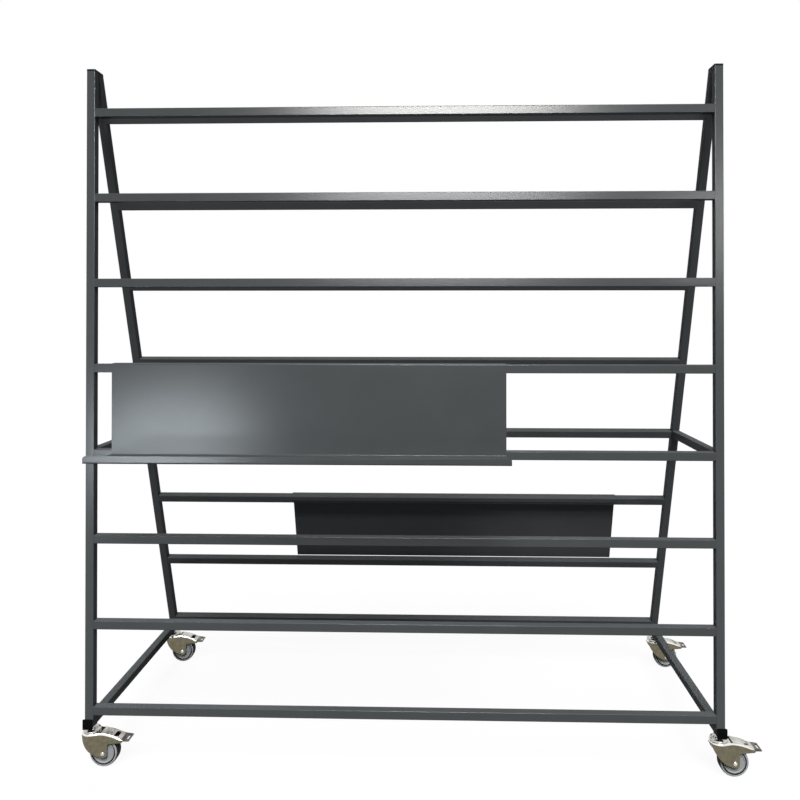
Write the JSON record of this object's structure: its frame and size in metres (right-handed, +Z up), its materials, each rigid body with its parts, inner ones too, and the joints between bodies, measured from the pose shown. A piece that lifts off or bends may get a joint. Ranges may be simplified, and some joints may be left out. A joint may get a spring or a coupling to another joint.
{
  "type": "sheet goods cart",
  "caption": "Mobile A-frame cart of square steel tube with cross bars on both faces, hook-on bent sheet ledges and braked swivel casters, for leaning and moving sheet goods.",
  "frame": {"origin": "middle of the floor area that the whole cart covers, on the floor", "axes": "+X to the right seen from the front, +Y to the rear, +Z up"},
  "size_m": [1.9766, 0.9564, 2.047],
  "materials": {
    "powder_coat": "satin powder coat",
    "black_plastic": "moulded",
    "bright_steel": "bright plated pressing",
    "hub_plastic": "moulded",
    "tyre_rubber": "non-marking rubber"
  },
  "bodies": {
    "frame": {"front_bar_1": "powder_coat", "front_bar_2": "powder_coat", "front_bar_3": "powder_coat", "front_bar_4": "powder_coat", "front_bar_5": "powder_coat", "front_bar_6": "powder_coat", "front_bar_7": "powder_coat", "front_bar_8": "powder_coat", "left_base_rail": "powder_coat", "left_leg": "powder_coat", "left_leg_cap": "black_plastic", "left_mid_rail": "powder_coat", "left_post": "powder_coat", "left_post_cap": "black_plastic", "left_rail_front_cap": "black_plastic", "left_rail_rear_cap": "black_plastic", "rear_bar_1": "powder_coat", "rear_bar_2": "powder_coat", "rear_bar_3": "powder_coat", "rear_bar_4": "powder_coat", "rear_bar_5": "powder_coat", "rear_bar_6": "powder_coat", "rear_bar_7": "powder_coat", "rear_bar_8": "powder_coat", "right_base_rail": "powder_coat", "right_leg": "powder_coat", "right_leg_cap": "black_plastic", "right_mid_rail": "powder_coat", "right_post": "powder_coat", "right_post_cap": "black_plastic", "right_rail_front_cap": "black_plastic", "right_rail_rear_cap": "black_plastic", "front_left_swivel_head": "bright_steel", "front_right_swivel_head": "bright_steel", "rear_left_swivel_head": "bright_steel", "rear_right_swivel_head": "bright_steel"},
    "front_ledge_body": {"front_ledge": "powder_coat"},
    "rear_ledge_body": {"rear_ledge": "powder_coat"},
    "front_left_swivel": {"front_left_fork": "bright_steel", "front_left_axle_bolt": "bright_steel"},
    "front_left_wheel": {"front_left_wheel_hub": "hub_plastic", "front_left_tyre": "tyre_rubber"},
    "front_left_brake": {"front_left_brake_pedal": "bright_steel"},
    "front_right_swivel": {"front_right_fork": "bright_steel", "front_right_axle_bolt": "bright_steel"},
    "front_right_wheel": {"front_right_wheel_hub": "hub_plastic", "front_right_tyre": "tyre_rubber"},
    "front_right_brake": {"front_right_brake_pedal": "bright_steel"},
    "rear_left_swivel": {"rear_left_fork": "bright_steel", "rear_left_axle_bolt": "bright_steel"},
    "rear_left_wheel": {"rear_left_wheel_hub": "hub_plastic", "rear_left_tyre": "tyre_rubber"},
    "rear_left_brake": {"rear_left_brake_pedal": "bright_steel"},
    "rear_right_swivel": {"rear_right_fork": "bright_steel", "rear_right_axle_bolt": "bright_steel"},
    "rear_right_wheel": {"rear_right_wheel_hub": "hub_plastic", "rear_right_tyre": "tyre_rubber"},
    "rear_right_brake": {"rear_right_brake_pedal": "bright_steel"}
  },
  "joints": [
    {"name": "front_ledge_slide", "type": "slide", "parent": "frame", "child": "front_ledge_body", "axis": [1, 0, 0], "range_m": [-0.052, 0.596]},
    {"name": "rear_ledge_slide", "type": "slide", "parent": "frame", "child": "rear_ledge_body", "axis": [1, 0, 0], "range_m": [-0.479, 0.169]},
    {"name": "front_left_swivel_turn", "type": "hinge", "parent": "frame", "child": "front_left_swivel", "pos_m": [-0.95975, -0.26922, 0.1], "axis": [0, 0, 1], "continuous": true},
    {"name": "front_left_wheel_spin", "type": "hinge", "parent": "front_left_swivel", "child": "front_left_wheel", "pos_m": [-0.91975, -0.26922, 0.04165], "axis": [0, 1, 0], "continuous": true},
    {"name": "front_left_brake_tip", "type": "hinge", "parent": "front_left_swivel", "child": "front_left_brake", "pos_m": [-0.91675, -0.26922, 0.0896], "axis": [0, 1, 0], "range_deg": [-15, 0]},
    {"name": "front_right_swivel_turn", "type": "hinge", "parent": "frame", "child": "front_right_swivel", "pos_m": [0.87125, -0.26922, 0.1], "axis": [0, 0, 1], "continuous": true},
    {"name": "front_right_wheel_spin", "type": "hinge", "parent": "front_right_swivel", "child": "front_right_wheel", "pos_m": [0.91125, -0.26922, 0.04165], "axis": [0, 1, 0], "continuous": true},
    {"name": "front_right_brake_tip", "type": "hinge", "parent": "front_right_swivel", "child": "front_right_brake", "pos_m": [0.91425, -0.26922, 0.0896], "axis": [0, 1, 0], "range_deg": [-15, 0]},
    {"name": "rear_left_swivel_turn", "type": "hinge", "parent": "frame", "child": "rear_left_swivel", "pos_m": [-0.95975, 0.39977, 0.1], "axis": [0, 0, 1], "continuous": true},
    {"name": "rear_left_wheel_spin", "type": "hinge", "parent": "rear_left_swivel", "child": "rear_left_wheel", "pos_m": [-0.91975, 0.39977, 0.04165], "axis": [0, 1, 0], "continuous": true},
    {"name": "rear_left_brake_tip", "type": "hinge", "parent": "rear_left_swivel", "child": "rear_left_brake", "pos_m": [-0.91675, 0.39977, 0.0896], "axis": [0, 1, 0], "range_deg": [-15, 0]},
    {"name": "rear_right_swivel_turn", "type": "hinge", "parent": "frame", "child": "rear_right_swivel", "pos_m": [0.87125, 0.39977, 0.1], "axis": [0, 0, 1], "continuous": true},
    {"name": "rear_right_wheel_spin", "type": "hinge", "parent": "rear_right_swivel", "child": "rear_right_wheel", "pos_m": [0.91125, 0.39977, 0.04165], "axis": [0, 1, 0], "continuous": true},
    {"name": "rear_right_brake_tip", "type": "hinge", "parent": "rear_right_swivel", "child": "rear_right_brake", "pos_m": [0.91425, 0.39977, 0.0896], "axis": [0, 1, 0], "range_deg": [-15, 0]}
  ]
}
